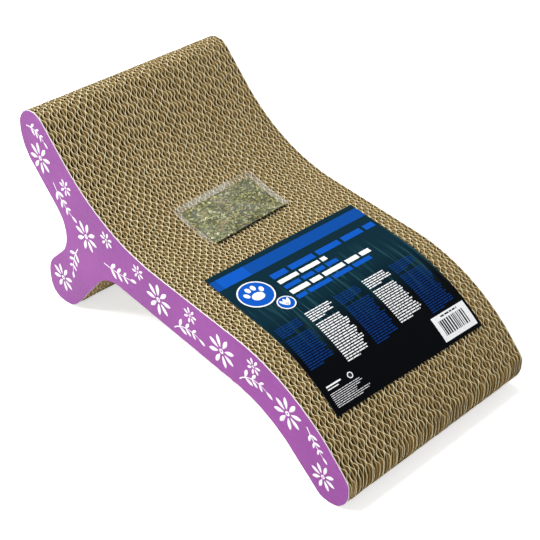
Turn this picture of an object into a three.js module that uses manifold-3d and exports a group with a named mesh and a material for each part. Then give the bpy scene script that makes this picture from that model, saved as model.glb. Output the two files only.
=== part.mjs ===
// Cat scratcher in the shape of a small chaise longue.
// Corrugated boards of one outline stand on edge and are glued face to face across the width.
// A printed sheet covers each side. A catnip pouch and an information card lie on the seat and lift off.
// Millimetres. +X runs from the head to the toe, +Y across the boards and +Z up.
// The origin is on the floor, under the middle of the part.

import * as THREE from 'three';
import { mergeVertices } from 'three/addons/utils/BufferGeometryUtils.js';
import Module from 'manifold-3d';

const wasm = await Module();
wasm.setup();

// Overall sizes
const length = 480;
const width = 249.6;
const height = 237;

// The boards share the width between the two printed sheets, with a glue line on each side of every board
const boardCount = 55;
const glueLine = 0.1;
const printThickness = 1;
const boardPitch = (width - 2 * printThickness - glueLine) / boardCount;
const boardThickness = boardPitch - glueLine;

// Heights of the seat and belly lines where they cross the middle of the length
const seatHeight = 128.4;
const bodyThickness = 54.8;

// Where the straight runs of the outline meet, measured in from the head end
const crownDepth = 37.8;
const backrestFoot = 131;
const heelSetIn = 14;
const heelLength = 40.2;
const neckDepth = 78.1;
const neckHeight = 102.7;

// The same, measured in from the toe end
const toeSlopeRun = 68.5;
const toeSoleRun = 35;

// Slopes of those runs, in degrees from level
const seatSlope = 4.6;
const bellySlope = 5.4;
const backrestSlope = 46.9;
const toeSlope = 47.7;
const toeUnderSlope = 40.4;
const heelSlope = 48.5;
const neckTopSlope = 46.7;
const neckLowSlope = 43;

// Radii of the rounded corners between them
const heelInsideRadius = 40;
const archRadius = 49;
const bellyRadius = 134;
const toeUnderRadius = 18;
const toeSoleRadius = 28;
const toeTopRadius = 12;
const kneeRadius = 200;
const seatRadius = 214;
const crownFrontRadius = 20;
const crownBackRadius = 28.5;
const headRadius = 49;
const neckRadius = 42;
const heelTopRadius = 39;
const heelBackRadius = 17;

// How far a chord may cut a round corner, and the least straight run left between two corners
const chordError = 0.7;
const leastRun = 0.3;

// Information card, placed along the seat from the crown's front edge to the card's middle
const cardLength = 197;
const cardWidth = 198;
const cardThickness = 0.6;
const cardPlace = 360.5;
const cardAside = 2.4;
const cardTurn = 1.7;

// Catnip pouch: two clear films, sealed flat all round, with one small hole that lets the scent out
const pouchLength = 66;
const pouchWidth = 110;
const pouchPlace = 190.5;
const pouchAside = 2.4;
const pouchTurn = -1.5;
const sealWidth = 6;
const filmWall = 0.4;
const scentHole = 1.2;

// The leaf in it: its depth at its edges, and how much more it holds where it is fullest.
// Lean above 1 moves that place towards the toe, and a lower bluntness makes the flanks steeper.
const leafEdge = 1;
const leafFullness = 6.2;
const leafLean = 1.5;
const endBluntness = 0.7;
const sideBluntness = 0.4;

// Clearance between pieces that rest on or fill each other
const clearance = 0.4;

// Facets of the curved sheets, along and across the seat
const cardFacets = [24, 4];
const sealFacets = [11, 2];
const pillowFacets = [9, 12];

const headEnd = -length / 2;
const toeEnd = length / 2;

const cardboard = new THREE.MeshStandardMaterial({ color: 0xb99c68, roughness: 0.95, metalness: 0 });
const printedPaper = new THREE.MeshStandardMaterial({ color: 0xa55aaa, roughness: 0.4, metalness: 0 });
const cardPrint = new THREE.MeshStandardMaterial({ color: 0x0a2230, roughness: 0.3, metalness: 0 });
const clearFilm = new THREE.MeshStandardMaterial({
  color: 0xdfe4dc, roughness: 0.15, metalness: 0, transparent: true, opacity: 0.35,
});
const driedLeaf = new THREE.MeshStandardMaterial({ color: 0x7a8058, roughness: 0.95, metalness: 0 });

// A straight run of the outline: a point that it passes through and its heading, in degrees from +X
function run(x, z, heading) {
  const angle = THREE.MathUtils.degToRad(heading);
  return { x, z, ax: Math.cos(angle), az: Math.sin(angle) };
}

function crossing(one, other) {
  const turn = one.ax * other.az - one.az * other.ax;
  const along = ((other.x - one.x) * other.az - (other.z - one.z) * other.ax) / turn;
  return new THREE.Vector2(one.x + one.ax * along, one.z + one.az * along);
}

// Height of the seat line above a place along the length
function seatLine(x) {
  return seatHeight - x * Math.tan(THREE.MathUtils.degToRad(seatSlope));
}

// The runs in order, anticlockwise seen from -Y, each with the radius of the corner at its end.
// The corners marked onTop are those of the surface that the cat lies on.
function outlineRuns() {
  const kneeX = toeEnd - toeSlopeRun;
  const backrestX = headEnd + backrestFoot;
  const heelX = headEnd + heelSetIn;
  const neckX = headEnd + neckDepth;
  const heelSole = run(heelX, 0, 0);
  const heelInside = run(heelX + heelLength, 0, heelSlope);
  const belly = run(0, seatHeight - bodyThickness, -bellySlope);
  const toeUnder = run(toeEnd - toeSoleRun, 0, -toeUnderSlope);
  const toeSole = run(toeEnd, 0, 0);
  const toeFace = run(toeEnd, 0, 90);
  const toeTop = run(kneeX, seatLine(kneeX), 180 - toeSlope);
  const seat = run(0, seatHeight, 180 - seatSlope);
  const backrest = run(backrestX, seatLine(backrestX), 180 - backrestSlope);
  const crown = run(headEnd + crownDepth, height, 180);
  const headBack = run(headEnd, height, 270);
  const neckTop = run(neckX, neckHeight, -neckTopSlope);
  const neckLow = run(neckX, neckHeight, 180 + neckLowSlope);
  const heelBack = run(heelX, 0, 270);
  return [
    { line: heelSole, radius: heelInsideRadius },
    { line: heelInside, radius: archRadius },
    { line: belly, radius: bellyRadius },
    { line: toeUnder, radius: toeUnderRadius },
    { line: toeSole, radius: toeSoleRadius },
    { line: toeFace, radius: toeTopRadius, onTop: true },
    { line: toeTop, radius: kneeRadius, onTop: true },
    { line: seat, radius: seatRadius, onTop: true },
    { line: backrest, radius: crownFrontRadius, onTop: true },
    { line: crown, radius: crownBackRadius },
    { line: headBack, radius: headRadius },
    { line: neckTop, radius: neckRadius },
    { line: neckLow, radius: heelTopRadius },
    { line: heelBack, radius: heelBackRadius },
  ];
}

// Corners of the outline, with the radius that the runs beside each one leave room for
function outlineCorners(runs) {
  const corners = runs.map((item, i) => {
    const next = runs[(i + 1) % runs.length];
    const turn = Math.atan2(
      item.line.ax * next.line.az - item.line.az * next.line.ax,
      item.line.ax * next.line.ax + item.line.az * next.line.az,
    );
    return {
      turn,
      into: item.line,
      point: crossing(item.line, next.line),
      reach: item.radius * Math.tan(Math.abs(turn) / 2),
    };
  });
  corners.forEach((corner, i) => {
    const next = corners[(i + 1) % corners.length];
    const room = corner.point.distanceTo(next.point) - leastRun;
    const share = Math.min(1, room / (corner.reach + next.reach));
    corner.shareAfter = share;
    next.shareBefore = share;
  });
  corners.forEach((corner) => {
    corner.reach *= Math.min(corner.shareBefore, corner.shareAfter);
    corner.radius = corner.reach / Math.tan(Math.abs(corner.turn) / 2);
  });
  return corners;
}

// Points round one corner, from the end of the run before it to the start of the run after it
function cornerPoints({ point, turn, reach, radius, into }) {
  const side = Math.sign(turn);
  const start = new THREE.Vector2(point.x - into.ax * reach, point.y - into.az * reach);
  const middle = new THREE.Vector2(start.x - into.az * radius * side, start.y + into.ax * radius * side);
  const steps = Math.ceil(Math.abs(turn) / (2 * Math.acos(1 - chordError / radius)));
  const pointAt = (_, i) => start.clone().rotateAround(middle, (turn * i) / steps);
  return Array.from({ length: steps + 1 }, pointAt);
}

const runs = outlineRuns();
const cornerArcs = outlineCorners(runs).map(cornerPoints);
const outline = new THREE.Shape(cornerArcs.flat());

// The faceted top of the boards, from the crown's front edge down the seat to the toe
const seatTop = cornerArcs.filter((_, i) => runs[i].onTop).flat().reverse();

// Each of its points with its distance from the crown, and the vector that lifts it by one millimetre
const seatTrack = seatTop.map((point) => ({ point, distance: 0, lift: new THREE.Vector2() }));
for (let i = 1; i < seatTrack.length; i += 1) {
  seatTrack[i].distance = seatTrack[i - 1].distance + seatTop[i].distanceTo(seatTop[i - 1]);
}
seatTrack.forEach((stop, i) => {
  const before = seatTop[Math.max(i - 1, 0)];
  const after = seatTop[Math.min(i + 1, seatTop.length - 1)];
  const inward = stop.point.clone().sub(before);
  const onward = after.clone().sub(stop.point);
  const sides = [inward, onward].filter((side) => side.length() > 0);
  const normals = sides.map((side) => new THREE.Vector2(-side.y, side.x).normalize());
  normals.forEach((normal) => stop.lift.add(normal));
  stop.lift.normalize();
  stop.lift.divideScalar(stop.lift.dot(normals[0]));
});

// The point at a distance along the seat and a height above its facets
function seatPoint(distance, above) {
  let i = 1;
  while (i < seatTrack.length - 1 && seatTrack[i].distance < distance) i += 1;
  const [from, to] = [seatTrack[i - 1], seatTrack[i]];
  const share = (distance - from.distance) / (to.distance - from.distance);
  const raised = [from, to].map((stop) => stop.point.clone().addScaledVector(stop.lift, above));
  return raised[0].lerp(raised[1], share);
}

// A plate of the outline, standing on edge, from y = 0 to its thickness
function standingPlate(thickness) {
  const geometry = new THREE.ExtrudeGeometry(outline, { depth: thickness, bevelEnabled: false });
  geometry.rotateX(Math.PI / 2);
  geometry.translate(0, thickness, 0);
  return geometry;
}

// A closed sheet lying along the seat: under and upper give its two heights at a place on it
function sheetOnSeat({ place, aside, turn, long, wide, facets, under, upper }) {
  const [rows, columns] = facets;
  const angle = THREE.MathUtils.degToRad(turn);
  const points = [];
  const spot = (row, column, heightAt) => {
    const along = (row / rows - 0.5) * long;
    const across = (column / columns - 0.5) * wide;
    const distance = place + along * Math.cos(angle) + across * Math.sin(angle);
    const y = aside + across * Math.cos(angle) - along * Math.sin(angle);
    const raised = seatPoint(distance, heightAt(along, across));
    points.push(raised.x, y, raised.y);
  };
  [under, upper].forEach((heightAt) => {
    for (let row = 0; row <= rows; row += 1) {
      for (let column = 0; column <= columns; column += 1) spot(row, column, heightAt);
    }
  });
  const layer = (rows + 1) * (columns + 1);
  const low = (row, column) => row * (columns + 1) + column;
  const high = (row, column) => layer + low(row, column);
  const faces = [];
  const quad = (a, b, c, d) => faces.push(a, b, c, a, c, d);
  for (let row = 0; row < rows; row += 1) {
    for (let column = 0; column < columns; column += 1) {
      quad(high(row, column), high(row + 1, column), high(row + 1, column + 1), high(row, column + 1));
      quad(low(row, column), low(row, column + 1), low(row + 1, column + 1), low(row + 1, column));
    }
    quad(low(row, 0), low(row + 1, 0), high(row + 1, 0), high(row, 0));
    quad(low(row + 1, columns), low(row, columns), high(row, columns), high(row + 1, columns));
  }
  for (let column = 0; column < columns; column += 1) {
    quad(low(0, column + 1), low(0, column), high(0, column), high(0, column + 1));
    quad(low(rows, column), low(rows, column + 1), high(rows, column + 1), high(rows, column));
  }
  const geometry = new THREE.BufferGeometry();
  geometry.setAttribute('position', new THREE.Float32BufferAttribute(points, 3));
  geometry.setIndex(faces);
  geometry.computeVertexNormals();
  return geometry;
}

function toSolid(geometry) {
  return new wasm.Manifold(new wasm.Mesh({
    numProp: 3,
    vertProperties: new Float32Array(geometry.getAttribute('position').array),
    triVerts: new Uint32Array(geometry.getIndex().array),
  }));
}

function toGeometry(solid) {
  const mesh = solid.getMesh();
  const geometry = new THREE.BufferGeometry();
  geometry.setAttribute('position', new THREE.Float32BufferAttribute(mesh.vertProperties, 3));
  geometry.setIndex(Array.from(mesh.triVerts));
  geometry.computeVertexNormals();
  return geometry;
}

// Where the pouch lies on the seat
const pouchSpot = { place: pouchPlace, aside: pouchAside, turn: pouchTurn };

// A body with the pillow shape of the leaf in the pouch, grown from it by a margin at its sides and top
function pillow(margin, floor) {
  const setIn = sealWidth + filmWall + clearance - margin;
  const long = pouchLength - 2 * setIn;
  const wide = pouchWidth - 2 * setIn;
  const leafTop = (along, across) => {
    const lengthwise = Math.sin(Math.PI * (along / long + 0.5) ** leafLean) ** endBluntness;
    const crosswise = Math.sin(Math.PI * (across / wide + 0.5)) ** sideBluntness;
    return leafFloor + leafEdge + leafFullness * lengthwise * crosswise;
  };
  return sheetOnSeat({
    ...pouchSpot, long, wide, facets: pillowFacets,
    under: () => floor,
    upper: (along, across) => leafTop(along, across) + margin,
  });
}

// Heights above the seat: the pouch's underside, the top of its lower film and the leaf's underside
const pouchFloor = clearance;
const filmFloor = pouchFloor + filmWall;
const leafFloor = filmFloor + clearance;

// The two films, one on the other at the seal and parted by the leaf inside it
function pouchShell() {
  const seal = sheetOnSeat({
    ...pouchSpot, long: pouchLength, wide: pouchWidth, facets: sealFacets,
    under: () => pouchFloor,
    upper: () => pouchFloor + 2 * filmWall,
  });
  const upperFilm = pillow(clearance + filmWall, filmFloor);
  const hollow = pillow(clearance, filmFloor);
  const films = toSolid(seal).add(toSolid(upperFilm)).subtract(toSolid(hollow));
  return toGeometry(films.subtract(toSolid(scentDrill())));
}

// A pin that cuts the scent hole down through the middle of the upper film
function scentDrill() {
  const reach = leafEdge + leafFullness + clearance + filmWall;
  const drill = new THREE.CylinderGeometry(scentHole / 2, scentHole / 2, reach, 8);
  drill.deleteAttribute('normal');
  drill.deleteAttribute('uv');
  drill.rotateX(Math.PI / 2);
  const middle = seatPoint(pouchPlace, leafFloor + reach / 2);
  drill.translate(middle.x, pouchAside, middle.y + clearance + filmWall);
  return mergeVertices(drill);
}

function piece(name, geometry, material, y = 0) {
  const mesh = new THREE.Mesh(geometry, material);
  mesh.name = name;
  mesh.position.y = y;
  return mesh;
}

// The block: boards side by side across the width, a printed sheet on each side
function makeBlock() {
  const block = new THREE.Group();
  const sheet = standingPlate(printThickness);
  const board = standingPlate(boardThickness);
  const firstBoard = -width / 2 + printThickness + glueLine;
  block.add(piece('side_print_near', sheet, printedPaper, -width / 2));
  for (let i = 0; i < boardCount; i += 1) {
    const name = `board_${String(i + 1).padStart(2, '0')}`;
    block.add(piece(name, board, cardboard, firstBoard + i * boardPitch));
  }
  block.add(piece('side_print_far', sheet, printedPaper, width / 2 - printThickness));
  return block;
}

function makePouch() {
  const pouch = new THREE.Group();
  pouch.add(piece('catnip_pouch', pouchShell(), clearFilm));
  pouch.add(piece('catnip_fill', pillow(0, leafFloor), driedLeaf));
  return pouch;
}

function makeCard() {
  const card = sheetOnSeat({
    place: cardPlace, aside: cardAside, turn: cardTurn,
    long: cardLength, wide: cardWidth, facets: cardFacets,
    under: () => clearance,
    upper: () => clearance + cardThickness,
  });
  return piece('info_card', card, cardPrint);
}

const scratcher = new THREE.Group();
scratcher.add(makeBlock(), makePouch(), makeCard());

export default scratcher;
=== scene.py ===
import math
import random

import bmesh
import bpy
from mathutils import Matrix, Quaternion, Vector, noise
from mathutils.geometry import intersect_line_line


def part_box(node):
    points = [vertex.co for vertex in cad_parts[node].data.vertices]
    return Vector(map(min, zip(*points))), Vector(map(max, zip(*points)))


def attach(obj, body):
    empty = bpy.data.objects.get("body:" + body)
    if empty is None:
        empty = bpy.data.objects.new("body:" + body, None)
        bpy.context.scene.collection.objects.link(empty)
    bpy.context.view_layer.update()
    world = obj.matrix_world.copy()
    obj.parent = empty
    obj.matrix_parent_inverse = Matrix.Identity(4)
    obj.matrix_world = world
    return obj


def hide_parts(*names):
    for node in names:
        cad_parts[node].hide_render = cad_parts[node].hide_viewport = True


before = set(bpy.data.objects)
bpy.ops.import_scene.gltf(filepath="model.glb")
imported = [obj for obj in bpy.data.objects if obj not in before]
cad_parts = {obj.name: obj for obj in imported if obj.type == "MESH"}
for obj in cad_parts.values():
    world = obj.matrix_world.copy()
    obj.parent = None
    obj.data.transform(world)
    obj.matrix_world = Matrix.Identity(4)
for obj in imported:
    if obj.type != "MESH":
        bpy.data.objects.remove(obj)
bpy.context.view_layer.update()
mm = 0.001


# The camera stands where the photograph was taken from.
view = {
    "place": Vector((0.72767, -0.65406, 0.80660)),
    "azimuth": 47.86,
    "elevation": 36.38,
    "roll": -1.26,
    "lens": 77.95,
    "sensor": 36,
}


def makeCamera():
    azimuth, elevation = math.radians(view["azimuth"]), math.radians(view["elevation"])
    level = math.cos(elevation)
    ahead = Vector((-math.sin(azimuth) * level, math.cos(azimuth) * level, -math.sin(elevation)))
    camera = bpy.data.objects.new("camera", bpy.data.cameras.new("camera"))
    camera.data.lens = view["lens"]
    camera.data.sensor_width = view["sensor"]
    camera.location = view["place"]
    camera.rotation_mode = "QUATERNION"
    rolled = Quaternion((0, 0, 1), math.radians(view["roll"]))
    camera.rotation_quaternion = ahead.to_track_quat("-Z", "Y") @ rolled
    bpy.context.scene.collection.objects.link(camera)
    bpy.context.scene.camera = camera


makeCamera()
print("camera ready")


# Adds a shader node. An input given as a socket is linked, and any other is set.
def addNode(tree, kind, inputs=None, **settings):
    node = tree.nodes.new("ShaderNode" + kind)
    for name, value in settings.items():
        setattr(node, name, value)
    for name, value in (inputs or {}).items():
        if isinstance(value, bpy.types.NodeSocket):
            tree.links.new(value, node.inputs[name])
        else:
            node.inputs[name].default_value = value
    return node


def addMath(tree, operation, one, other=0):
    return addNode(tree, "Math", {0: one, 1: other}, operation=operation).outputs[0]


def addRamp(tree, factor, stops):
    ramp = addNode(tree, "ValToRGB", {"Fac": factor})
    while len(ramp.color_ramp.elements) < len(stops):
        ramp.color_ramp.elements.new(1)
    for element, (place, color) in zip(ramp.color_ramp.elements, stops):
        element.position = place
        element.color = (*color, 1)
    return ramp.outputs["Color"]


def addMix(tree, factor, one, other):
    mix = addNode(tree, "Mix", {"Factor": factor}, data_type="RGBA")
    for socket, value in ((mix.inputs[6], one), (mix.inputs[7], other)):
        if isinstance(value, bpy.types.NodeSocket):
            tree.links.new(value, socket)
        else:
            socket.default_value = (*value, 1)
    return mix.outputs[2]


# Noise on Object coordinates. The scale is how many grains there are to a metre along each axis.
def addNoise(tree, scale, detail=3, roughness=0.55, distortion=0):
    coordinates = addNode(tree, "TexCoord")
    mapping = addNode(tree, "Mapping", {"Vector": coordinates.outputs["Object"], "Scale": scale})
    inputs = {"Vector": mapping.outputs["Vector"], "Scale": 1, "Detail": detail, "Roughness": roughness,
              "Distortion": distortion}
    return addNode(tree, "TexNoise", inputs).outputs["Fac"]


def addBump(tree, height, distance, strength=1):
    inputs = {"Height": height, "Distance": distance, "Strength": strength}
    return addNode(tree, "Bump", inputs).outputs["Normal"]


def startMaterial(name):
    material = bpy.data.materials.new(name)
    material.use_nodes = True
    material.node_tree.nodes.clear()
    return material, material.node_tree


def finishMaterial(tree, inputs):
    shader = addNode(tree, "BsdfPrincipled", inputs)
    addNode(tree, "OutputMaterial", {"Surface": shader.outputs["BSDF"]})


def linkPiece(name, bm, materials, body, slot, *nodes):
    mesh = bpy.data.meshes.new(name)
    bm.to_mesh(mesh)
    bm.free()
    for material in materials:
        mesh.materials.append(material)
    piece = bpy.data.objects.new(name, mesh)
    bpy.context.scene.collection.objects.link(piece)
    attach(piece, body)
    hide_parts(*nodes)
    return piece


def mergeInto(bm, part):
    mesh = bpy.data.meshes.new("part")
    part.to_mesh(mesh)
    part.free()
    bm.from_mesh(mesh)
    bpy.data.meshes.remove(mesh)


# Stage: a pale floor, a large lamp overhead, a low fill beside the camera, a lamp at the back and a pale sky.
stage = {
    "floorSide": 8,
    "floorDrop": 0.2 * mm,
    "floorColor": (0.93, 0.93, 0.93, 1),
    "floorLift": 0.64,  # light of its own, which only the camera sees
    "skyStrength": 0.32,
    "lampAim": (0, 0, 0.1),
    "overheadPlace": (-0.35, -1.25, 2.1), "overheadSize": 0.9, "overheadPower": 66,
    "fillPlace": (0.9, -2.2, 0.8), "fillSize": 1.3, "fillPower": 5,
    "backPlace": (-2.1, 0.5, 1.3), "backSize": 1, "backPower": 20,
}


def makeFloor():
    bm = bmesh.new()
    bmesh.ops.create_grid(bm, x_segments=1, y_segments=1, size=stage["floorSide"] / 2)
    bmesh.ops.translate(bm, vec=(0, 0, -stage["floorDrop"]), verts=bm.verts)
    mesh = bpy.data.meshes.new("floor")
    bm.to_mesh(mesh)
    bm.free()
    floor = bpy.data.objects.new("floor", mesh)
    bpy.context.scene.collection.objects.link(floor)
    material, tree = startMaterial("floor")
    path = addNode(tree, "LightPath")
    lift = addMath(tree, "MULTIPLY", path.outputs["Is Camera Ray"], stage["floorLift"])
    inputs = {"Base Color": stage["floorColor"], "Roughness": 0.9, "Emission Color": (1, 1, 1, 1),
              "Emission Strength": lift}
    finishMaterial(tree, inputs)
    mesh.materials.append(material)


def makeLamp(name):
    lamp = bpy.data.lights.new(name, "AREA")
    lamp.shape = "DISK"
    lamp.size = stage[name + "Size"]
    lamp.energy = stage[name + "Power"]
    holder = bpy.data.objects.new(name, lamp)
    place = Vector(stage[name + "Place"])
    holder.location = place
    holder.rotation_mode = "QUATERNION"
    holder.rotation_quaternion = (Vector(stage["lampAim"]) - place).to_track_quat("-Z", "Y")
    bpy.context.scene.collection.objects.link(holder)


def makeSky():
    world = bpy.data.worlds.new("sky")
    world.use_nodes = True
    tree = world.node_tree
    tree.nodes.clear()
    path = addNode(tree, "LightPath")
    seen = addMath(tree, "MAXIMUM", path.outputs["Is Camera Ray"], path.outputs["Is Glossy Ray"])
    seen = addMath(tree, "MAXIMUM", seen, path.outputs["Is Transmission Ray"])
    strength = addNode(tree, "MapRange", {"Value": seen, "To Min": stage["skyStrength"], "To Max": 1})
    background = addNode(tree, "Background", {"Color": (1, 1, 1, 1), "Strength": strength.outputs["Result"]})
    addNode(tree, "OutputWorld", {"Surface": background.outputs["Background"]})
    bpy.context.scene.world = world


makeFloor()
makeSky()
for lampName in ("overhead", "fill", "back"):
    makeLamp(lampName)
bpy.context.scene.view_settings.view_transform = "Standard"
print("stage lit")


# The side outline: straight runs that meet in rounded corners, the same as the boards' own outline.
side = {
    "seatHeight": 128.4 * mm, "bodyThickness": 54.8 * mm,
    "crownDepth": 37.8 * mm, "backrestFoot": 131 * mm,
    "heelSetIn": 14 * mm, "heelLength": 40.2 * mm,
    "neckDepth": 78.1 * mm, "neckHeight": 102.7 * mm,
    "toeSlopeRun": 68.5 * mm, "toeSoleRun": 35 * mm,
    "seatSlope": 4.6, "bellySlope": 5.4, "backrestSlope": 46.9, "toeSlope": 47.7, "toeUnderSlope": 40.4,
    "heelSlope": 48.5, "neckTopSlope": 46.7, "neckLowSlope": 43,
    "arcStep": 3 * mm, "leastRun": 0.3 * mm,
}
middleLow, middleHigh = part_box("board_28")
headEnd, toeEnd, crownHeight = middleLow.x, middleHigh.x, middleHigh.z


def heading(degrees):
    angle = math.radians(degrees)
    return Vector((math.cos(angle), 0, math.sin(angle)))


def seatLine(x):
    return side["seatHeight"] - x * math.tan(math.radians(side["seatSlope"]))


# Each run is a point on it, its heading in degrees from +X, and the radius of the corner at its end.
def sideRuns():
    kneeX = toeEnd - side["toeSlopeRun"]
    backrestX = headEnd + side["backrestFoot"]
    heelX = headEnd + side["heelSetIn"]
    neckX = headEnd + side["neckDepth"]
    neckZ = side["neckHeight"]
    bellyZ = side["seatHeight"] - side["bodyThickness"]
    return [
        ("heelSole", heelX, 0, 0, 40 * mm),
        ("heelInside", heelX + side["heelLength"], 0, side["heelSlope"], 49 * mm),
        ("belly", 0, bellyZ, -side["bellySlope"], 134 * mm),
        ("toeUnder", toeEnd - side["toeSoleRun"], 0, -side["toeUnderSlope"], 18 * mm),
        ("toeSole", toeEnd, 0, 0, 28 * mm),
        ("toeFace", toeEnd, 0, 90, 12 * mm),
        ("toeTop", kneeX, seatLine(kneeX), 180 - side["toeSlope"], 200 * mm),
        ("seat", 0, side["seatHeight"], 180 - side["seatSlope"], 214 * mm),
        ("backrest", backrestX, seatLine(backrestX), 180 - side["backrestSlope"], 20 * mm),
        ("crown", headEnd + side["crownDepth"], crownHeight, 180, 28.5 * mm),
        ("headBack", headEnd, crownHeight, 270, 49 * mm),
        ("neckTop", neckX, neckZ, -side["neckTopSlope"], 42 * mm),
        ("neckLow", neckX, neckZ, 180 + side["neckLowSlope"], 39 * mm),
        ("heelBack", heelX, 0, 270, 17 * mm),
    ]


# A corner lies where two runs meet. Its reach is how far before that point the rounding starts.
def sideCorners():
    runs = sideRuns()
    corners = []
    for i, (name, x, z, degrees, radius) in enumerate(runs):
        _, nextX, nextZ, nextDegrees, _ = runs[(i + 1) % len(runs)]
        into, out = heading(degrees), heading(nextDegrees)
        one, other = Vector((x, 0, z)), Vector((nextX, 0, nextZ))
        point = intersect_line_line(one, one + into, other, other + out)[0]
        turn = math.atan2(into.x * out.z - into.z * out.x, into.dot(out))
        reach = radius * math.tan(abs(turn) / 2)
        corners.append({"name": name, "point": point, "into": into, "turn": turn, "reach": reach, "share": 1})
    for i, corner in enumerate(corners):
        following = corners[(i + 1) % len(corners)]
        room = (corner["point"] - following["point"]).length - side["leastRun"]
        share = min(1, room / (corner["reach"] + following["reach"]))
        corner["share"] = min(corner["share"], share)
        following["share"] = min(following["share"], share)
    for corner in corners:
        corner["reach"] *= corner["share"]
        corner["radius"] = corner["reach"] / math.tan(abs(corner["turn"]) / 2)
    return corners


# The outline as one face in the XZ plane. Each corner is a spun vertex, and arcs tells which vertices it has.
def outlineFace():
    bm = bmesh.new()
    arcs = {}
    last = None
    for corner in sideCorners():
        into, turn, radius = corner["into"], corner["turn"], corner["radius"]
        first = len(bm.verts)
        start = bm.verts.new(corner["point"] - into * corner["reach"])
        if last:
            bm.edges.new((last, start))
        inward = Vector((-into.z, 0, into.x)) * math.copysign(radius, turn)
        steps = max(2, math.ceil(abs(turn) * radius / side["arcStep"]))
        spun = bmesh.ops.spin(bm, geom=[start], cent=start.co + inward, axis=(0, -1, 0), angle=turn,
                              steps=steps)
        last = next(v for v in spun["geom_last"] if isinstance(v, bmesh.types.BMVert))
        arcs[corner["name"]] = (first, len(bm.verts))
    bm.verts.ensure_lookup_table()
    bm.edges.new((last, bm.verts[0]))
    bmesh.ops.contextual_create(bm, geom=bm.edges[:])
    return bm, arcs


# Stops down the seat, from the crown's front edge to the toe, each with its distance and normal
def seatTrack():
    bm, arcs = outlineFace()
    bm.verts.ensure_lookup_table()
    down = range(arcs["backrest"][1] - 1, arcs["toeFace"][0] - 1, -1)
    points = [bm.verts[i].co.copy() for i in down]
    bm.free()
    stops = []
    distance = 0
    for i, point in enumerate(points):
        along = (points[min(i + 1, len(points) - 1)] - points[max(i - 1, 0)]).normalized()
        distance += (point - points[i - 1]).length if i else 0
        stops.append((distance, point, Vector((-along.z, 0, along.x))))
    return stops


track = seatTrack()


# The point at a distance along the top and a height above it
def seatPoint(distance, height):
    i = 1
    while i < len(track) - 1 and track[i][0] < distance:
        i += 1
    (near, one, oneUp), (far, other, otherUp) = track[i - 1], track[i]
    share = (distance - near) / (far - near)
    return one.lerp(other, share) + oneUp.lerp(otherUp, share).normalized() * height


# The same for a thing laid on the seat: from its middle, along is towards the toe and across is over the seat
def laidPoint(spot, along, across, height):
    turn = math.radians(spot["turn"])
    point = seatPoint(spot["place"] + along * math.cos(turn) + across * math.sin(turn), height)
    point.y = spot["aside"] + across * math.cos(turn) - along * math.sin(turn)
    return point


# Lays a flat slab on the seat. Its x runs across the seat and its y towards the toe.
def layOnSeat(bm, spot, under, upper):
    for vert in bm.verts:
        across, along, level = vert.co
        vert.co = laidPoint(spot, along, across, (upper if level > 0 else under)(along, across))
    bmesh.ops.reverse_faces(bm, faces=bm.faces[:])  # x and y have changed places, which mirrors the slab


# A flat slab of a grid, one millimetre thick, from z = 0 upwards. Its top has slot 0 and the rest slot 1.
def makeSlab(wide, long, columns, rows):
    bm = bmesh.new()
    bm.loops.layers.uv.new("UVMap")
    bmesh.ops.create_grid(bm, x_segments=columns, y_segments=rows, size=0.5, calc_uvs=True,
                          matrix=Matrix.Diagonal((wide, long, 1, 1)))
    bmesh.ops.translate(bm, vec=(0, 0, mm), verts=bm.verts)
    top = set(bm.faces)
    bmesh.ops.solidify(bm, geom=bm.faces[:], thickness=mm)
    for face in bm.faces:
        face.material_index = 0 if face in top else 1
    return bm


print("outline and seat track ready, track", round(track[-1][0], 4))


# Corrugated board: two flat liners with a fluted sheet between them, cut to the side outline.
board = {
    "flutePitch": 9.7 * mm, "fluteStep": 0.81 * mm,
    "steepness": 1.25,  # near 0 a plain wave, and higher has flatter crests and steeper flanks
    "medium": 0.56 * mm, "liner": 0.2 * mm, "linerSetIn": (0.3 * mm, 1 * mm),
    "phaseWander": 0.06, "wanderGrain": (25, 900, 8),
    "bow": 0.6, "bowRoom": (25 * mm, 50 * mm), "depthParts": 4,
    "shift": 0.3 * mm, "seed": 7,
    # Wall tones: kraft brown darkened below the paper's own tone, as painted shade in the flute openings.
    "wall": (0.33, 0.21, 0.062), "wallDark": (0.15, 0.085, 0.02),
    "edge": (0.93, 0.86, 0.57), "edgeDark": (0.69, 0.60, 0.335),
    "linerEdge": (0.72, 0.61, 0.36), "linerEdgeDark": (0.50, 0.40, 0.20),
}


def kraftMaterial():
    material, tree = startMaterial("kraftWall")
    fibres = addNoise(tree, (900, 900, 260), 4, 0.65)
    mottle = addNoise(tree, (40, 300, 40), 2)
    blend = addMath(tree, "MULTIPLY", addMath(tree, "ADD", fibres, mottle), 0.5)
    # Random mottle between the two wall tones, which both carry painted shade for the flute openings.
    color = addRamp(tree, blend, [(0.34, board["wallDark"]), (0.64, board["wall"])])
    finishMaterial(tree, {"Base Color": color, "Roughness": 0.92, "Specular IOR Level": 0.15,
                          "Normal": addBump(tree, fibres, 0.1 * mm)})
    return material


def cutEdgeMaterial(name, tone, darkTone):
    material, tree = startMaterial(name)
    frays = addNoise(tree, (1300, 1300, 1300))
    stock = addNoise(tree, (25, 260, 25), 1)
    blend = addMath(tree, "ADD", addMath(tree, "MULTIPLY", frays, 0.6), addMath(tree, "MULTIPLY", stock, 0.4))
    color = addRamp(tree, blend, [(0.34, darkTone), (0.56, tone)])
    finishMaterial(tree, {"Base Color": color, "Roughness": 0.95, "Specular IOR Level": 0.15,
                          "Normal": addBump(tree, frays, 0.12 * mm)})
    return material


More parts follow.
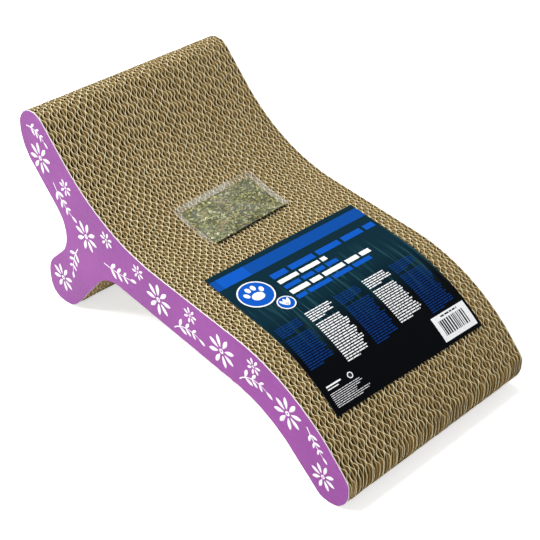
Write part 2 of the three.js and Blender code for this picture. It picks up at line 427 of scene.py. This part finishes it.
# Thickens a sheet along its normals. The walls keep slot 0 and the cut edges all round get the edge slot.
def thicken(bm, thickness, edgeSlot):
    walls = set(bm.faces)
    made = bmesh.ops.solidify(bm, geom=bm.faces[:], thickness=thickness)
    walls.update(item for item in made["geom"] if isinstance(item, bmesh.types.BMFace))
    for face in bm.faces:
        face.smooth = face in walls
        face.material_index = 0 if face in walls else edgeSlot
        if face not in walls:
            for edge in face.edges:
                edge.smooth = False
    bmesh.ops.reverse_faces(bm, faces=bm.faces[:])  # a thickness below zero leaves them pointing inwards


# Inside, the flutes bow sideways by part of a wave, which keeps most light out. Short ones stay straight.
def innerBow(level, room):
    least, most = board["bowRoom"]
    share = min(max((room - least) / (most - least), 0), 1)
    return board["bow"] * share * (1 - abs(2 * level - 1))


# The outline cut into strips, each in parts from its underside to its top, and the bow of each of its points
def flutedTemplate():
    bm, _ = outlineFace()
    x = headEnd + board["fluteStep"] / 2
    while x < toeEnd:
        geom = bm.verts[:] + bm.edges[:] + bm.faces[:]
        bmesh.ops.bisect_plane(bm, geom=geom, plane_co=(x, 0, 0), plane_no=(1, 0, 0), dist=1e-6)
        x += board["fluteStep"]
    bm.verts.layers.float.new("level")
    bm.verts.layers.float.new("room")  # this moves the first one, so both are looked up after it
    level, room = (bm.verts.layers.float[name] for name in ("level", "room"))
    inner = [edge for edge in bm.edges if not edge.is_boundary]
    for edge in inner:
        for vert in edge.verts:
            vert[room] = edge.calc_length()
        max(edge.verts, key=lambda vert: vert.co.z)[level] = 1
    bmesh.ops.subdivide_edges(bm, edges=inner, cuts=board["depthParts"] - 1)
    bows = [innerBow(vert[level], vert[room]) for vert in bm.verts]
    for name in ("level", "room"):
        bm.verts.layers.float.remove(bm.verts.layers.float[name])
    mesh = bpy.data.meshes.new("flutedTemplate")
    bm.to_mesh(mesh)
    bm.free()
    return mesh, bows


# One liner, set in a little from the outline, with its near face at y
def makeLiner(y, setIn):
    bm, _ = outlineFace()
    ring = bmesh.ops.inset_region(bm, faces=bm.faces[:], thickness=setIn, use_even_offset=True)
    bmesh.ops.delete(bm, geom=ring["faces"], context="FACES")
    bmesh.ops.translate(bm, vec=(0, y, 0), verts=bm.verts)
    thicken(bm, -board["liner"], 2)
    return bm


def makeBoards():
    materials = [kraftMaterial(), cutEdgeMaterial("fluteCutEdge", board["edge"], board["edgeDark"]),
                 cutEdgeMaterial("linerCutEdge", board["linerEdge"], board["linerEdgeDark"])]
    fluted, bows = flutedTemplate()
    alongGrain, acrossGrain, upGrain = board["wanderGrain"]
    draws = random.Random(board["seed"])
    names = sorted(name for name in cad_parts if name.startswith("board_"))
    for name in names:
        low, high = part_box(name)
        middle = (low.y + high.y) / 2
        swing = (high.y - low.y) / 2 - board["liner"] - board["medium"] / 2
        phase = draws.random()
        bm = bmesh.new()
        bm.from_mesh(fluted)
        for vert, bow in zip(bm.verts, bows):
            spot = (vert.co.x * alongGrain, middle * acrossGrain, vert.co.z * upGrain)
            wander = board["phaseWander"] * noise.noise(spot)
            wave = math.sin(math.tau * (vert.co.x / board["flutePitch"] + phase + wander + bow))
            bend = math.tanh(board["steepness"] * wave) / math.tanh(board["steepness"])
            vert.co.y = middle + swing * bend - board["medium"] / 2
        thicken(bm, -board["medium"], 1)
        for y in (low.y, high.y - board["liner"]):
            mergeInto(bm, makeLiner(y, draws.uniform(*board["linerSetIn"])))
        shift = Vector((draws.uniform(-1, 1), 0, draws.random())) * board["shift"]
        bmesh.ops.translate(bm, vec=shift, verts=bm.verts)
        linkPiece(name.replace("board", "fluted_board"), bm, materials, "block", "corrugated_board", name)
    bpy.data.meshes.remove(fluted)
    print("boards made:", len(names))


makeBoards()


# Side sheets: white paper printed purple, with a white cut edge.
sheet = {
    "edgeCell": 4 * mm, "edgeWave": 0.45 * mm, "edgeGrain": 130, "border": 0.6 * mm,
    "purple": (0.25, 0.04, 0.265), "purpleDark": (0.185, 0.026, 0.205), "paper": (0.86, 0.84, 0.84),
}


def purpleMaterial():
    material, tree = startMaterial("purplePrint")
    flutes = addNoise(tree, (230, 20, 14), 2, 0.5, 0.4)
    creases = addNoise(tree, (26, 26, 60), 4, 0.6, 1.2)
    cloud = addNoise(tree, (9, 9, 9), 2)
    grain = addNoise(tree, (1500, 1500, 1500), 2)
    blend = addMath(tree, "ADD", addMath(tree, "MULTIPLY", cloud, 0.7), addMath(tree, "MULTIPLY", grain, 0.3))
    color = addRamp(tree, blend, [(0.3, sheet["purpleDark"]), (0.62, sheet["purple"])])
    relief = addMath(tree, "ADD", addMath(tree, "MULTIPLY", flutes, 0.35), creases)
    inputs = {"Base Color": color, "Roughness": 0.4, "Specular IOR Level": 0.24, "Coat Weight": 0.04,
              "Coat Roughness": 0.16, "Normal": addBump(tree, relief, 0.5 * mm)}
    finishMaterial(tree, inputs)
    return material


def paperMaterial(name, tone, roughness):
    material, tree = startMaterial(name)
    fibres = addNoise(tree, (1200, 1200, 1200), 3)
    color = addRamp(tree, fibres, [(0.3, tuple(v * 0.86 for v in tone)), (0.6, tone)])
    inputs = {"Base Color": color, "Roughness": roughness, "Normal": addBump(tree, fibres, 0.03 * mm)}
    finishMaterial(tree, inputs)
    return material


# The sheet's outline with short edges, so that its cut edge can waver a little
def sheetFace():
    bm, _ = outlineFace()
    for edge in list(bm.edges):
        cuts = math.floor(edge.calc_length() / sheet["edgeCell"])
        if cuts:
            bmesh.ops.subdivide_edges(bm, edges=[edge], cuts=cuts)
    moves = {}
    for vert in bm.verts:
        one, other = (edge.other_vert(vert).co for edge in vert.link_edges)
        outward = (one - other).cross(Vector((0, 1, 0))).normalized()
        if outward.dot(vert.co - (one + other) / 2) < 0:
            outward.negate()
        moves[vert] = outward * noise.noise(vert.co * sheet["edgeGrain"]) * sheet["edgeWave"]
    for vert, move in moves.items():
        vert.co += Vector((move.x, 0, max(move.z, -vert.co.z)))
    return bm


# White daisies and leaf sprigs printed on the sides, in millimetres and radians, with x towards the toe and z
# upwards. Petals, rings, leaves and buds are shares of the size of the whole.
flowers = {
    "daisies": (  # x and z of the middle, size, turn and petals
        (-209, 184, 18, 0.1, 8), (-140, 119, 18, 0.5, 8), (-199, 35, 17.5, 0.2, 8), (-22, 102, 18.5, 0, 8),
        (72, 93, 18.5, 0.3, 8), (162, 74, 18, 0.2, 8), (208, 27, 15, 0.5, 8), (-168, 166, 10, 0.2, 7),
        (-103, 133, 10, 0.3, 7), (-53, 119, 9, 0.5, 7), (27, 110, 9.5, 0, 7), (117, 102, 9.5, 0.1, 7),
    ),
    "sprigs": (  # x and z of the foot, size, turn and curl
        (-227, 216, 32, 0.15, -0.9), (-190, 163, 40, -1.1, 0.6), (-160, 93, 40, -2.2, 0.5),
        (-112, 100, 44, -0.1, 0.3), (1, 81, 40, 0.7, -1.1), (97, 75, 40, 0.8, -1.3), (187, 75, 31, -1.0, 0.3),
    ),
    "strokeSteps": 10, "strokeEnds": 0.02, "strokeLean": 1.25, "strokeBluntness": 0.75,
    "petalFoot": 0.24, "petalLong": 0.78, "petalsWide": 2.5,  # all petals of a daisy together
    "ringSteps": 12, "ringRadius": 0.11, "ringWeight": 0.055,
    "stemSteps": 12, "stemWeight": (0.8, 0.4),  # half its width at the foot and at the tip
    "leafSteps": (3, 6, 9), "leafLean": 0.8,
    "leafLong": 0.34, "leafShrink": 0.014, "leafWide": 0.42, "budLong": 0.26, "budWide": 0.11,
    "flatness": 0.06, "ink": (0.88, 0.86, 0.89),
}


# A brush stroke that swells from its foot and narrows to its tip: a list of (x, z, half width)
def brushStroke(x, z, long, wide, turn):
    steps, ends = flowers["strokeSteps"], flowers["strokeEnds"]
    points = []
    for i in range(steps + 1):
        share = ends + (1 - 2 * ends) * i / steps
        swell = wide / 2 * math.sin(math.pi * share ** flowers["strokeLean"]) ** flowers["strokeBluntness"]
        points.append((x + long * share * math.cos(turn), z + long * share * math.sin(turn), swell))
    return points


# Petals all round a ring, each a stroke that starts a little outside it
def daisyStrokes(x, z, size, turn, petals):
    strokes, ring = [], []
    foot, long = size * flowers["petalFoot"], size * flowers["petalLong"]
    wide = size * flowers["petalsWide"] / petals
    for i in range(petals):
        angle = turn + math.tau * i / petals
        strokes.append(brushStroke(x + foot * math.cos(angle), z + foot * math.sin(angle), long, wide, angle))
    steps, radius, weight = flowers["ringSteps"], size * flowers["ringRadius"], size * flowers["ringWeight"]
    for i in range(steps + 1):
        angle = math.tau * i / steps
        ring.append((x + radius * math.cos(angle), z + radius * math.sin(angle), weight))
    return strokes + [ring]


# A stem that bends by curl from its foot to its tip, with pairs of leaves and a bud at its tip
def sprigStrokes(x, z, size, turn, curl):
    stem, leaves = [], []
    steps = flowers["stemSteps"]
    footWeight, tipWeight = flowers["stemWeight"]
    for i in range(steps + 1):
        way = turn + curl * i / steps
        stem.append((x, z, footWeight + (tipWeight - footWeight) * i / steps))
        if i in flowers["leafSteps"]:
            long = size * (flowers["leafLong"] - flowers["leafShrink"] * i)
            for lean in (flowers["leafLean"], -flowers["leafLean"]):
                leaves.append(brushStroke(x, z, long, long * flowers["leafWide"], way + lean))
        x += size / steps * math.cos(way)
        z += size / steps * math.sin(way)
    bud = brushStroke(*stem[-1][:2], size * flowers["budLong"], size * flowers["budWide"], turn + curl)
    return [stem] + leaves + [bud]


def printStrokes():
    strokes = []
    for daisy in flowers["daisies"]:
        strokes += daisyStrokes(*daisy)
    for sprig in flowers["sprigs"]:
        strokes += sprigStrokes(*sprig)
    return strokes


# The print as flat brush strokes: round curves that are pressed onto the sheet
def makePrint(name, face):
    curve = bpy.data.curves.new(name, "CURVE")
    curve.dimensions = "3D"
    curve.bevel_depth = mm
    curve.bevel_resolution = 1
    curve.use_fill_caps = True
    for stroke in printStrokes():
        spline = curve.splines.new("POLY")
        spline.points.add(len(stroke) - 1)
        for point, (x, z, weight) in zip(spline.points, stroke):
            point.co = (x * mm, 0, z * mm, 1)
            point.radius = weight
    holder = bpy.data.objects.new(name + "_curve", curve)
    bm = bmesh.new()
    bm.from_mesh(bpy.data.meshes.new_from_object(holder))
    bpy.data.objects.remove(holder)
    bmesh.ops.scale(bm, vec=(1, flowers["flatness"], 1), verts=bm.verts)
    bmesh.ops.translate(bm, vec=(0, face, 0), verts=bm.verts)
    linkPiece(name, bm, [paperMaterial("whiteInk", flowers["ink"], 0.4)], "block", "printed_paper")


def makeSides():
    purple, paper = purpleMaterial(), paperMaterial("whitePaper", sheet["paper"], 0.7)
    for where, outer in (("near", -1), ("far", 1)):
        low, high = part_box("side_print_" + where)
        bm = sheetFace()
        bmesh.ops.translate(bm, vec=(0, low.y if outer < 0 else high.y, 0), verts=bm.verts)
        if bm.faces[:][0].normal.y * outer < 0:
            bmesh.ops.reverse_faces(bm, faces=bm.faces[:])
        bmesh.ops.inset_region(bm, faces=bm.faces[:], thickness=sheet["border"], use_even_offset=True)
        middle = max(bm.faces, key=lambda face: face.calc_area())
        bmesh.ops.solidify(bm, geom=bm.faces[:], thickness=high.y - low.y)
        for face in bm.faces:
            face.material_index = 0 if face == middle else 1
        linkPiece("side_sheet_" + where, bm, [purple, paper], "block", "printed_paper", "side_print_" + where)
        makePrint("side_flowers_" + where, low.y if outer < 0 else high.y)
    print("side sheets made")


makeSides()


# Information card: glossy dark card, laid on the seat.
card = {
    "place": 360.5 * mm, "aside": 2.4 * mm, "turn": 1.7,
    "long": 197 * mm, "wide": 198 * mm, "thickness": 0.6 * mm, "float": 0.4 * mm,
    "rows": 48, "columns": 24,
    "teal": (0.0012, 0.018, 0.030), "black": (0.0008, 0.0012, 0.002), "streak": (0.035, 0.12, 0.14),
    "stock": (0.12, 0.125, 0.13),
}


def cardTop(along, across):
    return card["float"] + card["thickness"]


# Ground of the card: dark teal at the head side that turns black, with faint streaks
def cardMaterial():
    material, tree = startMaterial("cardGround")
    place = addNode(tree, "UVMap", uv_map="UVMap")
    parts = addNode(tree, "SeparateXYZ", {"Vector": place.outputs["UV"]})
    down = parts.outputs["Y"]
    ground = addRamp(tree, down, [(0.0, card["teal"]), (0.42, card["teal"]), (0.68, card["black"])])
    stretch = addNode(tree, "Mapping", {"Vector": place.outputs["UV"], "Scale": (48, 2.2, 1)})
    wisps = addNode(tree, "TexNoise", {"Vector": stretch.outputs["Vector"], "Scale": 1, "Detail": 2,
                                       "Distortion": 0.6}).outputs["Fac"]
    wisps = addNode(tree, "MapRange", {"Value": wisps, "From Min": 0.53, "From Max": 0.74}).outputs["Result"]
    window = addRamp(tree, down, [(0.24, (0, 0, 0)), (0.4, (1, 1, 1)), (0.56, (0.5, 0.5, 0.5)),
                                  (0.76, (0, 0, 0))])
    mask = addMath(tree, "MULTIPLY", wisps, addMath(tree, "MULTIPLY", window, 0.8))
    color = addMix(tree, mask, ground, card["streak"])
    dimples = addNoise(tree, (12, 12, 12), 2)
    inputs = {"Base Color": color, "Roughness": 0.42, "Specular IOR Level": 0.03,
              "Normal": addBump(tree, dimples, 1.5 * mm)}
    finishMaterial(tree, inputs)
    return material


def makeCard():
    bm = makeSlab(card["wide"], card["long"], card["columns"], card["rows"])
    for face in bm.faces:
        face.smooth = True
        if face.material_index:
            for edge in face.edges:
                if any(other.material_index == 0 for other in edge.link_faces):
                    edge.smooth = False
    layOnSeat(bm, card, lambda along, across: card["float"], cardTop)
    stock = paperMaterial("cardStock", card["stock"], 0.7)
    linkPiece("card_sheet", bm, [cardMaterial(), stock], "card", "printed_card", "info_card")
    print("card made")


# Ink on the card, in millimetres: u runs from its near edge to its far edge, and v from head to toe. A box is
# given by its two sides in u and its two ends in v.
ink = {
    "thickness": 0.03 * mm, "cell": (16, 6), "leastBar": 1, "seed": 21,
    "band": (0.3, 197.7, 7, 22.5), "bandPatch": (8, 42, 7, 22.5),
    "tallRows": (
        ("bright", 54, 194, 33, 42.5), ("white", 54, 117, 44.6, 51.4), ("bright", 54, 124, 53.8, 60.6),
        ("white", 54, 160, 62.4, 69.8), ("bright", 54, 153, 71.6, 78.6),
    ),
    "tallSetIn": 0.1, "tallBar": (1.6, 4.2), "tallGap": 0.45,  # shares of the row's height
    "columns": (
        ("blue", 5.5, 38, 96, 152), ("white", 43.5, 76, 96, 163), ("blue", 81.5, 114.5, 96, 164),
        ("white", 119, 152, 96, 158), ("blue", 156.5, 190, 96, 165),
    ),
    "rowPitch": 2.72, "rowHeight": 1.3, "rowBar": (2.2, 7.5), "rowGap": 0.75,
    "emptyRow": 5, "rowShare": (0.84, 1), "shortShare": 0.5,
    "pawBadge": (26, 47, 38, 35, 40), "leafBadge": (41, 74, 19, 16.6, 32),  # u, v, rim, field and segments
    "paw": (26, 46.5, 25),  # u, v and size, and the pad and toes are shares of that size
    "pad": (0.16, 0.56, 0.44), "toe": (0.2, 0.3),
    "toes": ((-0.36, 0.1, -20), (-0.13, 0.33, -6), (0.13, 0.33, 6), (0.36, 0.1, 20)),
    "leavesPlace": (41, 73.5), "leaves": ((-2.6, -28), (2.6, 28), (0, 0)), "leafSize": (3.4, 10.5),
    "thinRows": 8, "thinPlace": (6, 177), "thinPitch": 1.9, "thinHeight": 0.55,
    "thinLong": (26, 48), "thinBar": (2, 6), "thinGap": 0.6,
    "ring": (36, 171, 6.4, 4.4),  # u, v and its outer and inner widths
    "footBars": ((7, 25, 169, 170.6), (7, 20, 172.2, 173.2)),
    "label": (149, 195, 166, 193), "uprights": (154.5, 189, 172, 188),
    "uprightWide": (0.8, 1.3, 2), "uprightGap": (0.9, 1.4),
    "labelRow": (161, 184, 168, 169.6), "labelBar": (3, 6), "labelGap": 1,
    "tones": {
        "band": (0.001, 0.062, 0.31), "white": (0.88, 0.89, 0.90), "blue": (0.001, 0.032, 0.17),
        "bright": (0.002, 0.085, 0.46), "dark": (0.02, 0.02, 0.025),
    },
}


# Layer 1 lies on the card, 2 on another ink and 3 on a badge's field.
def addBlock(bm, u0, u1, v0, v1, layer=1):
    cellWide, cellLong = ink["cell"]
    columns, rows = max(1, round((u1 - u0) / cellWide)), max(1, round((v1 - v0) / cellLong))
    slab = makeSlab((u1 - u0) * mm, (v1 - v0) * mm, columns, rows)
    placeInk(bm, slab, (u0 + u1) / 2, (v0 + v1) / 2, layer)


def addDisc(bm, u, v, wide, long, turn=0, layer=1, segments=20):
    disc = bmesh.new()
    bmesh.ops.create_circle(disc, cap_ends=True, segments=segments, radius=mm)
    bmesh.ops.translate(disc, vec=(0, 0, mm), verts=disc.verts)
    bmesh.ops.solidify(disc, geom=disc.faces[:], thickness=mm)
    bmesh.ops.scale(disc, vec=(wide / 2, long / 2, 1), verts=disc.verts)
    bmesh.ops.rotate(disc, matrix=Matrix.Rotation(math.radians(turn), 3, "Z"), verts=disc.verts)
    placeInk(bm, disc, u, v, layer)


# Moves a flat shape to its place on the card and lays it there, each layer a little above the one below
def placeInk(bm, shape, u, v, layer):
    across, along = u * mm - card["wide"] / 2, v * mm - card["long"] / 2
    bmesh.ops.translate(shape, vec=(across, along, 0), verts=shape.verts)
    base = cardTop(0, 0)
    layOnSeat(shape, card, lambda *_: base - ink["thickness"], lambda *_: base + layer * ink["thickness"])
    for face in shape.faces:
        face.material_index = 0
    mergeInto(bm, shape)


# A row of plain bars of random lengths
def addBars(bm, draws, u0, u1, v0, v1, lengths, gap):
    u = u0
    while u < u1 - ink["leastBar"]:
        long = min(draws.uniform(*lengths), u1 - u)
        addBlock(bm, u, u + long, v0, v1)
        u += long + gap


def addTallRow(bm, draws, u0, u1, v0, v1):
    tall = v1 - v0
    setIn, gap = tall * ink["tallSetIn"], tall * ink["tallGap"]
    lengths = [tall * share for share in ink["tallBar"]]
    addBars(bm, draws, u0, u1, v0 + setIn, v1 - setIn, lengths, gap)


# Rows of bars with one row left out. The row before it and the last one are short.
def addColumn(bm, draws, u0, u1, v0, v1):
    rows = int((v1 - v0) / ink["rowPitch"])
    for row in range(rows):
        if row == ink["emptyRow"]:
            continue
        v = v0 + row * ink["rowPitch"]
        short = row in (ink["emptyRow"] - 1, rows - 1)
        share = ink["shortShare"] if short else draws.uniform(*ink["rowShare"])
        addBars(bm, draws, u0, u0 + (u1 - u0) * share, v, v + ink["rowHeight"], ink["rowBar"], ink["rowGap"])


# A round badge: a white rim with a bright field on it
def addBadge(layers, u, v, rim, field, segments):
    addDisc(layers["white"], u, v, rim, rim, segments=segments)
    addDisc(layers["bright"], u, v, field, field, layer=2, segments=segments)


def addPaw(bm):
    u, v, size = ink["paw"]
    drop, padWide, padLong = ink["pad"]
    addDisc(bm, u, v + size * drop, size * padWide, size * padLong, layer=3)
    toeWide, toeLong = ink["toe"]
    for aside, up, turn in ink["toes"]:
        addDisc(bm, u + aside * size, v - up * size, size * toeWide, size * toeLong, turn, 3)


def addLeaves(bm):
    u, v = ink["leavesPlace"]
    for aside, turn in ink["leaves"]:
        addDisc(bm, u + aside, v, *ink["leafSize"], turn, 3)


# Thin rows at the card's foot, with a ring and two bars above them
def addFoot(layers, draws):
    u, first = ink["thinPlace"]
    for row in range(ink["thinRows"]):
        v = first + row * ink["thinPitch"]
        end = u + draws.uniform(*ink["thinLong"])
        addBars(layers["white"], draws, u, end, v, v + ink["thinHeight"], ink["thinBar"], ink["thinGap"])
    u, v, outer, inner = ink["ring"]
    addDisc(layers["white"], u, v, outer, outer)
    addDisc(layers["dark"], u, v, inner, inner, layer=2)
    for box in ink["footBars"]:
        addBlock(layers["white"], *box)


# A white label with upright bars and a row of short ones
def addLabel(layers, draws):
    addBlock(layers["white"], *ink["label"])
    u, last, v0, v1 = ink["uprights"]
    while u < last:
        wide = draws.choice(ink["uprightWide"])
        addBlock(layers["dark"], u, u + wide, v0, v1, 2)
        u += wide + draws.choice(ink["uprightGap"])
    addBars(layers["dark"], draws, *ink["labelRow"], ink["labelBar"], ink["labelGap"])


def inkMaterial(name):
    material, tree = startMaterial("cardInk" + name.capitalize())
    tone = ink["tones"][name]
    dots = addNoise(tree, (700, 700, 700), 2)
    color = addRamp(tree, dots, [(0.25, tuple(v * 0.85 for v in tone)), (0.6, tone)])
    finishMaterial(tree, {"Base Color": color, "Roughness": 0.42, "Specular IOR Level": 0.05})
    return material


def makeInks():
    draws = random.Random(ink["seed"])
    layers = {name: bmesh.new() for name in ink["tones"]}
    addBlock(layers["band"], *ink["band"])
    addBlock(layers["bright"], *ink["bandPatch"], 2)
    for tone, *box in ink["tallRows"]:
        addTallRow(layers[tone], draws, *box)
    for tone, *box in ink["columns"]:
        addColumn(layers[tone], draws, *box)
    addBadge(layers, *ink["pawBadge"])
    addPaw(layers["white"])
    addBadge(layers, *ink["leafBadge"])
    addLeaves(layers["white"])
    addFoot(layers, draws)
    addLabel(layers, draws)
    for name, bm in layers.items():
        linkPiece("card_ink_" + name, bm, [inkMaterial(name)], "card", "printed_card")
    print("card inks made")


makeCard()
makeInks()


# Catnip pouch: two films sealed all round, filled with crushed leaf.
pouch = {
    "place": 190.5 * mm, "aside": 2.4 * mm, "turn": -1.5,
    "long": 66 * mm, "wide": 110 * mm, "seal": 6 * mm, "film": 0.3 * mm, "float": 0.3 * mm, "gap": 0.4 * mm,
    "fullness": 6.6 * mm, "lean": 1.8, "endBluntness": 0.5, "sideBluntness": 0.4,
    "fullSetIn": (2 * mm, -5.4 * mm, -1 * mm, 2 * mm),  # at the head, toe, near and far edges
    "pucker": 0.9 * mm, "dentGrain": (55, 140), "rippleGrain": (30, 420), "rippleShare": 0.35,
    "toeLift": 3 * mm, "toeLiftRun": 8 * mm,
    "rows": 66, "columns": 110,
    "haze": (0.80, 0.82, 0.74), "filmAlpha": (0.02, 0.12), "sealAlpha": (0.04, 0.2),
}


# Where the pouch is full, from its head end and its near side. The toe end is full almost to its edge.
def fullSpan(margin):
    head, toe, near, far = (margin + setIn for setIn in pouch["fullSetIn"])
    halfLong, halfWide = pouch["long"] / 2, pouch["wide"] / 2
    return head - halfLong, halfLong - toe, near - halfWide, halfWide - far


# How full the pouch is at a point, from 0 at the seal to 1 at its fullest
def fullness(along, across, margin):
    head, toe, near, far = fullSpan(margin)
    lengthwise, crosswise = (along - head) / (toe - head), (across - near) / (far - near)
    if not (0 < lengthwise < 1 and 0 < crosswise < 1):
        return 0
    rise = math.sin(math.pi * lengthwise ** pouch["lean"]) ** pouch["endBluntness"]
    return rise * math.sin(math.pi * crosswise) ** pouch["sideBluntness"]


# The seam at the toe end lies at half the pouch's height, clear of the seat
def toeLift(along):
    share = (along - pouch["long"] / 2 + pouch["toeLiftRun"]) / pouch["toeLiftRun"]
    return pouch["toeLift"] * max(share, 0) ** 2


# Broad and small dents where the pouch is full, and ripples across its edges where it isn't
def filmTop(along, across):
    full = fullness(along, across, pouch["seal"])
    broad, small = pouch["dentGrain"]
    dents = noise.noise((along * broad, across * broad, 3))
    dents += 0.5 * noise.noise((along * small, across * small, 9))
    slow, quick = pouch["rippleGrain"]
    ripples = noise.noise((along * slow, across * quick, 5)) + noise.noise((along * quick, across * slow, 7))
    unevenness = pouch["pucker"] * (dents * full + pouch["rippleShare"] * ripples * (1 - full))
    swell = pouch["fullness"] * full + unevenness
    least = 2 * pouch["film"] + pouch["gap"]
    return pouch["float"] + least + max(swell, toeLift(along))


def filmBottom(along, across):
    return pouch["float"] + toeLift(along)


# How opaque the film is, from its clearest places to its foggiest ones
def hazeAlpha(tree, grain, foggiest, alphas):
    fog = addNoise(tree, (grain, grain, grain), 2)
    inputs = {"Value": fog, "From Min": 0.35, "From Max": foggiest, "To Min": alphas[0], "To Max": alphas[1]}
    return addNode(tree, "MapRange", inputs).outputs["Result"]


def filmMaterial():
    material, tree = startMaterial("clearFilm")
    creases = addNoise(tree, (150, 150, 150), 3, 0.6, 1.5)
    alpha = hazeAlpha(tree, 60, 0.7, pouch["filmAlpha"])
    inputs = {"Base Color": (*pouch["haze"], 1), "Roughness": 0.16, "Alpha": alpha,
              "Normal": addBump(tree, creases, 0.8 * mm)}
    finishMaterial(tree, inputs)
    return material


def sealMaterial():
    material, tree = startMaterial("sealedFilm")
    ribs = addNoise(tree, (700, 700, 700), 2)
    alpha = hazeAlpha(tree, 45, 0.65, pouch["sealAlpha"])
    inputs = {"Base Color": (*pouch["haze"], 1), "Roughness": 0.3, "Specular IOR Level": 0.35, "Alpha": alpha,
              "Normal": addBump(tree, ribs, 0.2 * mm)}
    finishMaterial(tree, inputs)
    return material


def makePouch():
    bm = makeSlab(pouch["wide"], pouch["long"], pouch["columns"], pouch["rows"])
    for face in bm.faces:
        face.smooth = True
        middle = face.calc_center_median()
        inside = fullness(middle.y, middle.x, pouch["seal"]) > 0
        face.material_index = 0 if inside else 1
    layOnSeat(bm, pouch, filmBottom, filmTop)
    materials = [filmMaterial(), sealMaterial()]
    film = linkPiece("pouch_film", bm, materials, "pouch", "clear_film", "catnip_pouch")
    print("pouch film made")


# Crushed leaf: a heap that fills the pouch, with loose flakes all over its top.
leaf = {
    "setIn": 6.3 * mm, "rows": 40, "columns": 72, "least": 0.5 * mm,
    "headroom": 1 * mm, "lumps": ((160, 0.9 * mm, 1), (500, 0.5 * mm, 2)),  # grain, height and layer of noise
    "flakes": 1500, "flakeLong": (1.8 * mm, 5 * mm), "flakeWide": (1 * mm, 2.3 * mm), "flakeThick": 0.5 * mm,
    "flakeRise": (-0.2 * mm, 0.5 * mm), "flakeTilt": (0.5, 0.4), "seed": 5,
    "dustGrain": 620, "dust": ((0.022, 0.024, 0.012), (0.05, 0.055, 0.022), (0.09, 0.085, 0.03)),
    "flakeGrain": 330,
    "tones": ((0.018, 0.02, 0.01), (0.08, 0.092, 0.028), (0.19, 0.22, 0.05), (0.31, 0.32, 0.11),
              (0.26, 0.16, 0.05), (0.46, 0.48, 0.23), (0.78, 0.77, 0.54)),
}


def leafTop(along, across):
    full = fullness(along, across, leaf["setIn"])
    heap = (pouch["fullness"] - leaf["headroom"]) * full
    for grain, height, layer in leaf["lumps"]:
        heap += noise.noise((along * grain, across * grain, layer)) * height * full
    return pouch["float"] + pouch["film"] + max(leaf["least"] + toeLift(along), heap)


def leafBottom(along, across):
    return pouch["float"] + pouch["film"] + toeLift(along)


def leafMaterial(name, tones, grain):
    material, tree = startMaterial(name)
    place = addNode(tree, "TexCoord").outputs["Object"]
    cells = addNode(tree, "TexVoronoi", {"Vector": place, "Scale": grain}, feature="F1")
    pick = addNode(tree, "SeparateColor", {"Color": cells.outputs["Color"]}).outputs["Red"]
    stops = [(i / (len(tones) - 1), tone) for i, tone in enumerate(tones)]
    patches = addNoise(tree, (40, 40, 40), 2)
    patches = addMath(tree, "MULTIPLY", patches, 0.3)
    blend = addMath(tree, "ADD", addMath(tree, "MULTIPLY", pick, 0.75), patches)
    veins = addNoise(tree, (900, 900, 900), 2)
    finishMaterial(tree, {"Base Color": addRamp(tree, blend, stops), "Roughness": 0.85,
                          "Normal": addBump(tree, veins, 0.2 * mm)})
    return material


def flakeTemplate():
    bm = bmesh.new()
    bmesh.ops.create_icosphere(bm, subdivisions=1, radius=0.5)
    for face in bm.faces:
        face.material_index = 1
    mesh = bpy.data.meshes.new("flake")
    bm.to_mesh(mesh)
    bm.free()
    return mesh


def makeLeaf():
    head, toe, near, far = fullSpan(leaf["setIn"])
    wide, long = far - near, toe - head
    middle = Vector(((near + far) / 2, (head + toe) / 2, 0))
    bm = makeSlab(wide, long, leaf["columns"], leaf["rows"])
    bmesh.ops.translate(bm, vec=middle, verts=bm.verts)
    for face in bm.faces:
        face.material_index = 0
    layOnSeat(bm, pouch, leafBottom, leafTop)
    flake = flakeTemplate()
    draws = random.Random(leaf["seed"])
    leanX, leanY = leaf["flakeTilt"]
    for _ in range(leaf["flakes"]):
        along = middle.y + draws.uniform(-0.5, 0.5) * long
        across = middle.x + draws.uniform(-0.5, 0.5) * wide
        rise = draws.uniform(*leaf["flakeRise"])
        size = (draws.uniform(*leaf["flakeLong"]), draws.uniform(*leaf["flakeWide"]), leaf["flakeThick"])
        place = laidPoint(pouch, along, across, leafTop(along, across) + rise)
        tilt = Matrix.Rotation(draws.uniform(0, math.tau), 4, "Z")
        tilt = tilt @ Matrix.Rotation(draws.uniform(-leanX, leanX), 4, "X")
        tilt = tilt @ Matrix.Rotation(draws.uniform(-leanY, leanY), 4, "Y")
        before = len(bm.verts)
        bm.from_mesh(flake)
        bm.verts.ensure_lookup_table()
        shape = Matrix.Translation(place) @ tilt @ Matrix.Diagonal((*size, 1))
        bmesh.ops.transform(bm, matrix=shape, verts=bm.verts[before:])
    bpy.data.meshes.remove(flake)
    materials = [leafMaterial("leafDust", leaf["dust"], leaf["dustGrain"]),
                 leafMaterial("leafFlakes", leaf["tones"], leaf["flakeGrain"])]
    linkPiece("crushed_leaf", bm, materials, "pouch", "dried_catnip", "catnip_fill")
    print("leaf made")


makePouch()
makeLeaf()
